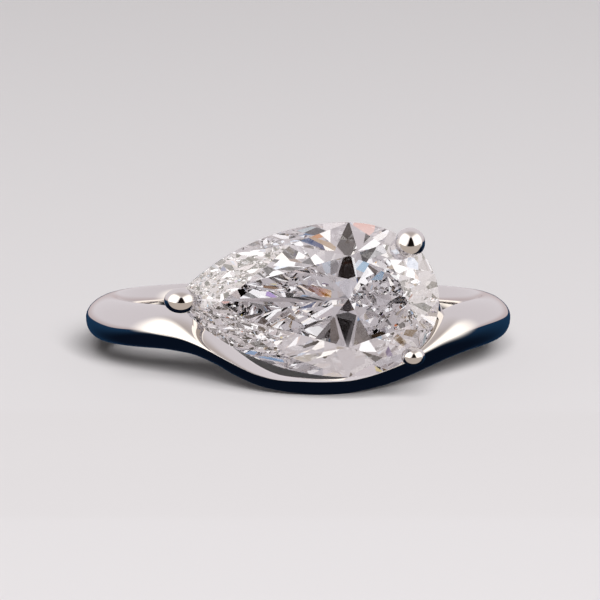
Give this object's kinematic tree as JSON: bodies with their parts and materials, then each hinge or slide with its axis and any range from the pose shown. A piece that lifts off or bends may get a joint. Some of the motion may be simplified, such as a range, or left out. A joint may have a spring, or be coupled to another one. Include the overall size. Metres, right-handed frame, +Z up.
{
  "type": "pear engagement ring",
  "caption": "Polished white metal ring with a pear-cut clear stone set across the finger in three bead prongs above a band that dips below it.",
  "frame": {"origin": "middle of the finger hole, on the band's middle plane", "axes": "+X along the stone from its point to its round end, -Y out through the stone, +Z up from the table that the ring lies on; the finger hole's axis leans 6 degrees from +Z towards +Y"},
  "size_m": [0.0204, 0.0233, 0.0085],
  "materials": {
    "polished_metal": "mirror-polished white metal",
    "clear_stone": "cut and polished facets"
  },
  "bodies": {
    "root": {"band_and_setting": "polished_metal", "pear_stone": "clear_stone"}
  },
  "joints": []
}
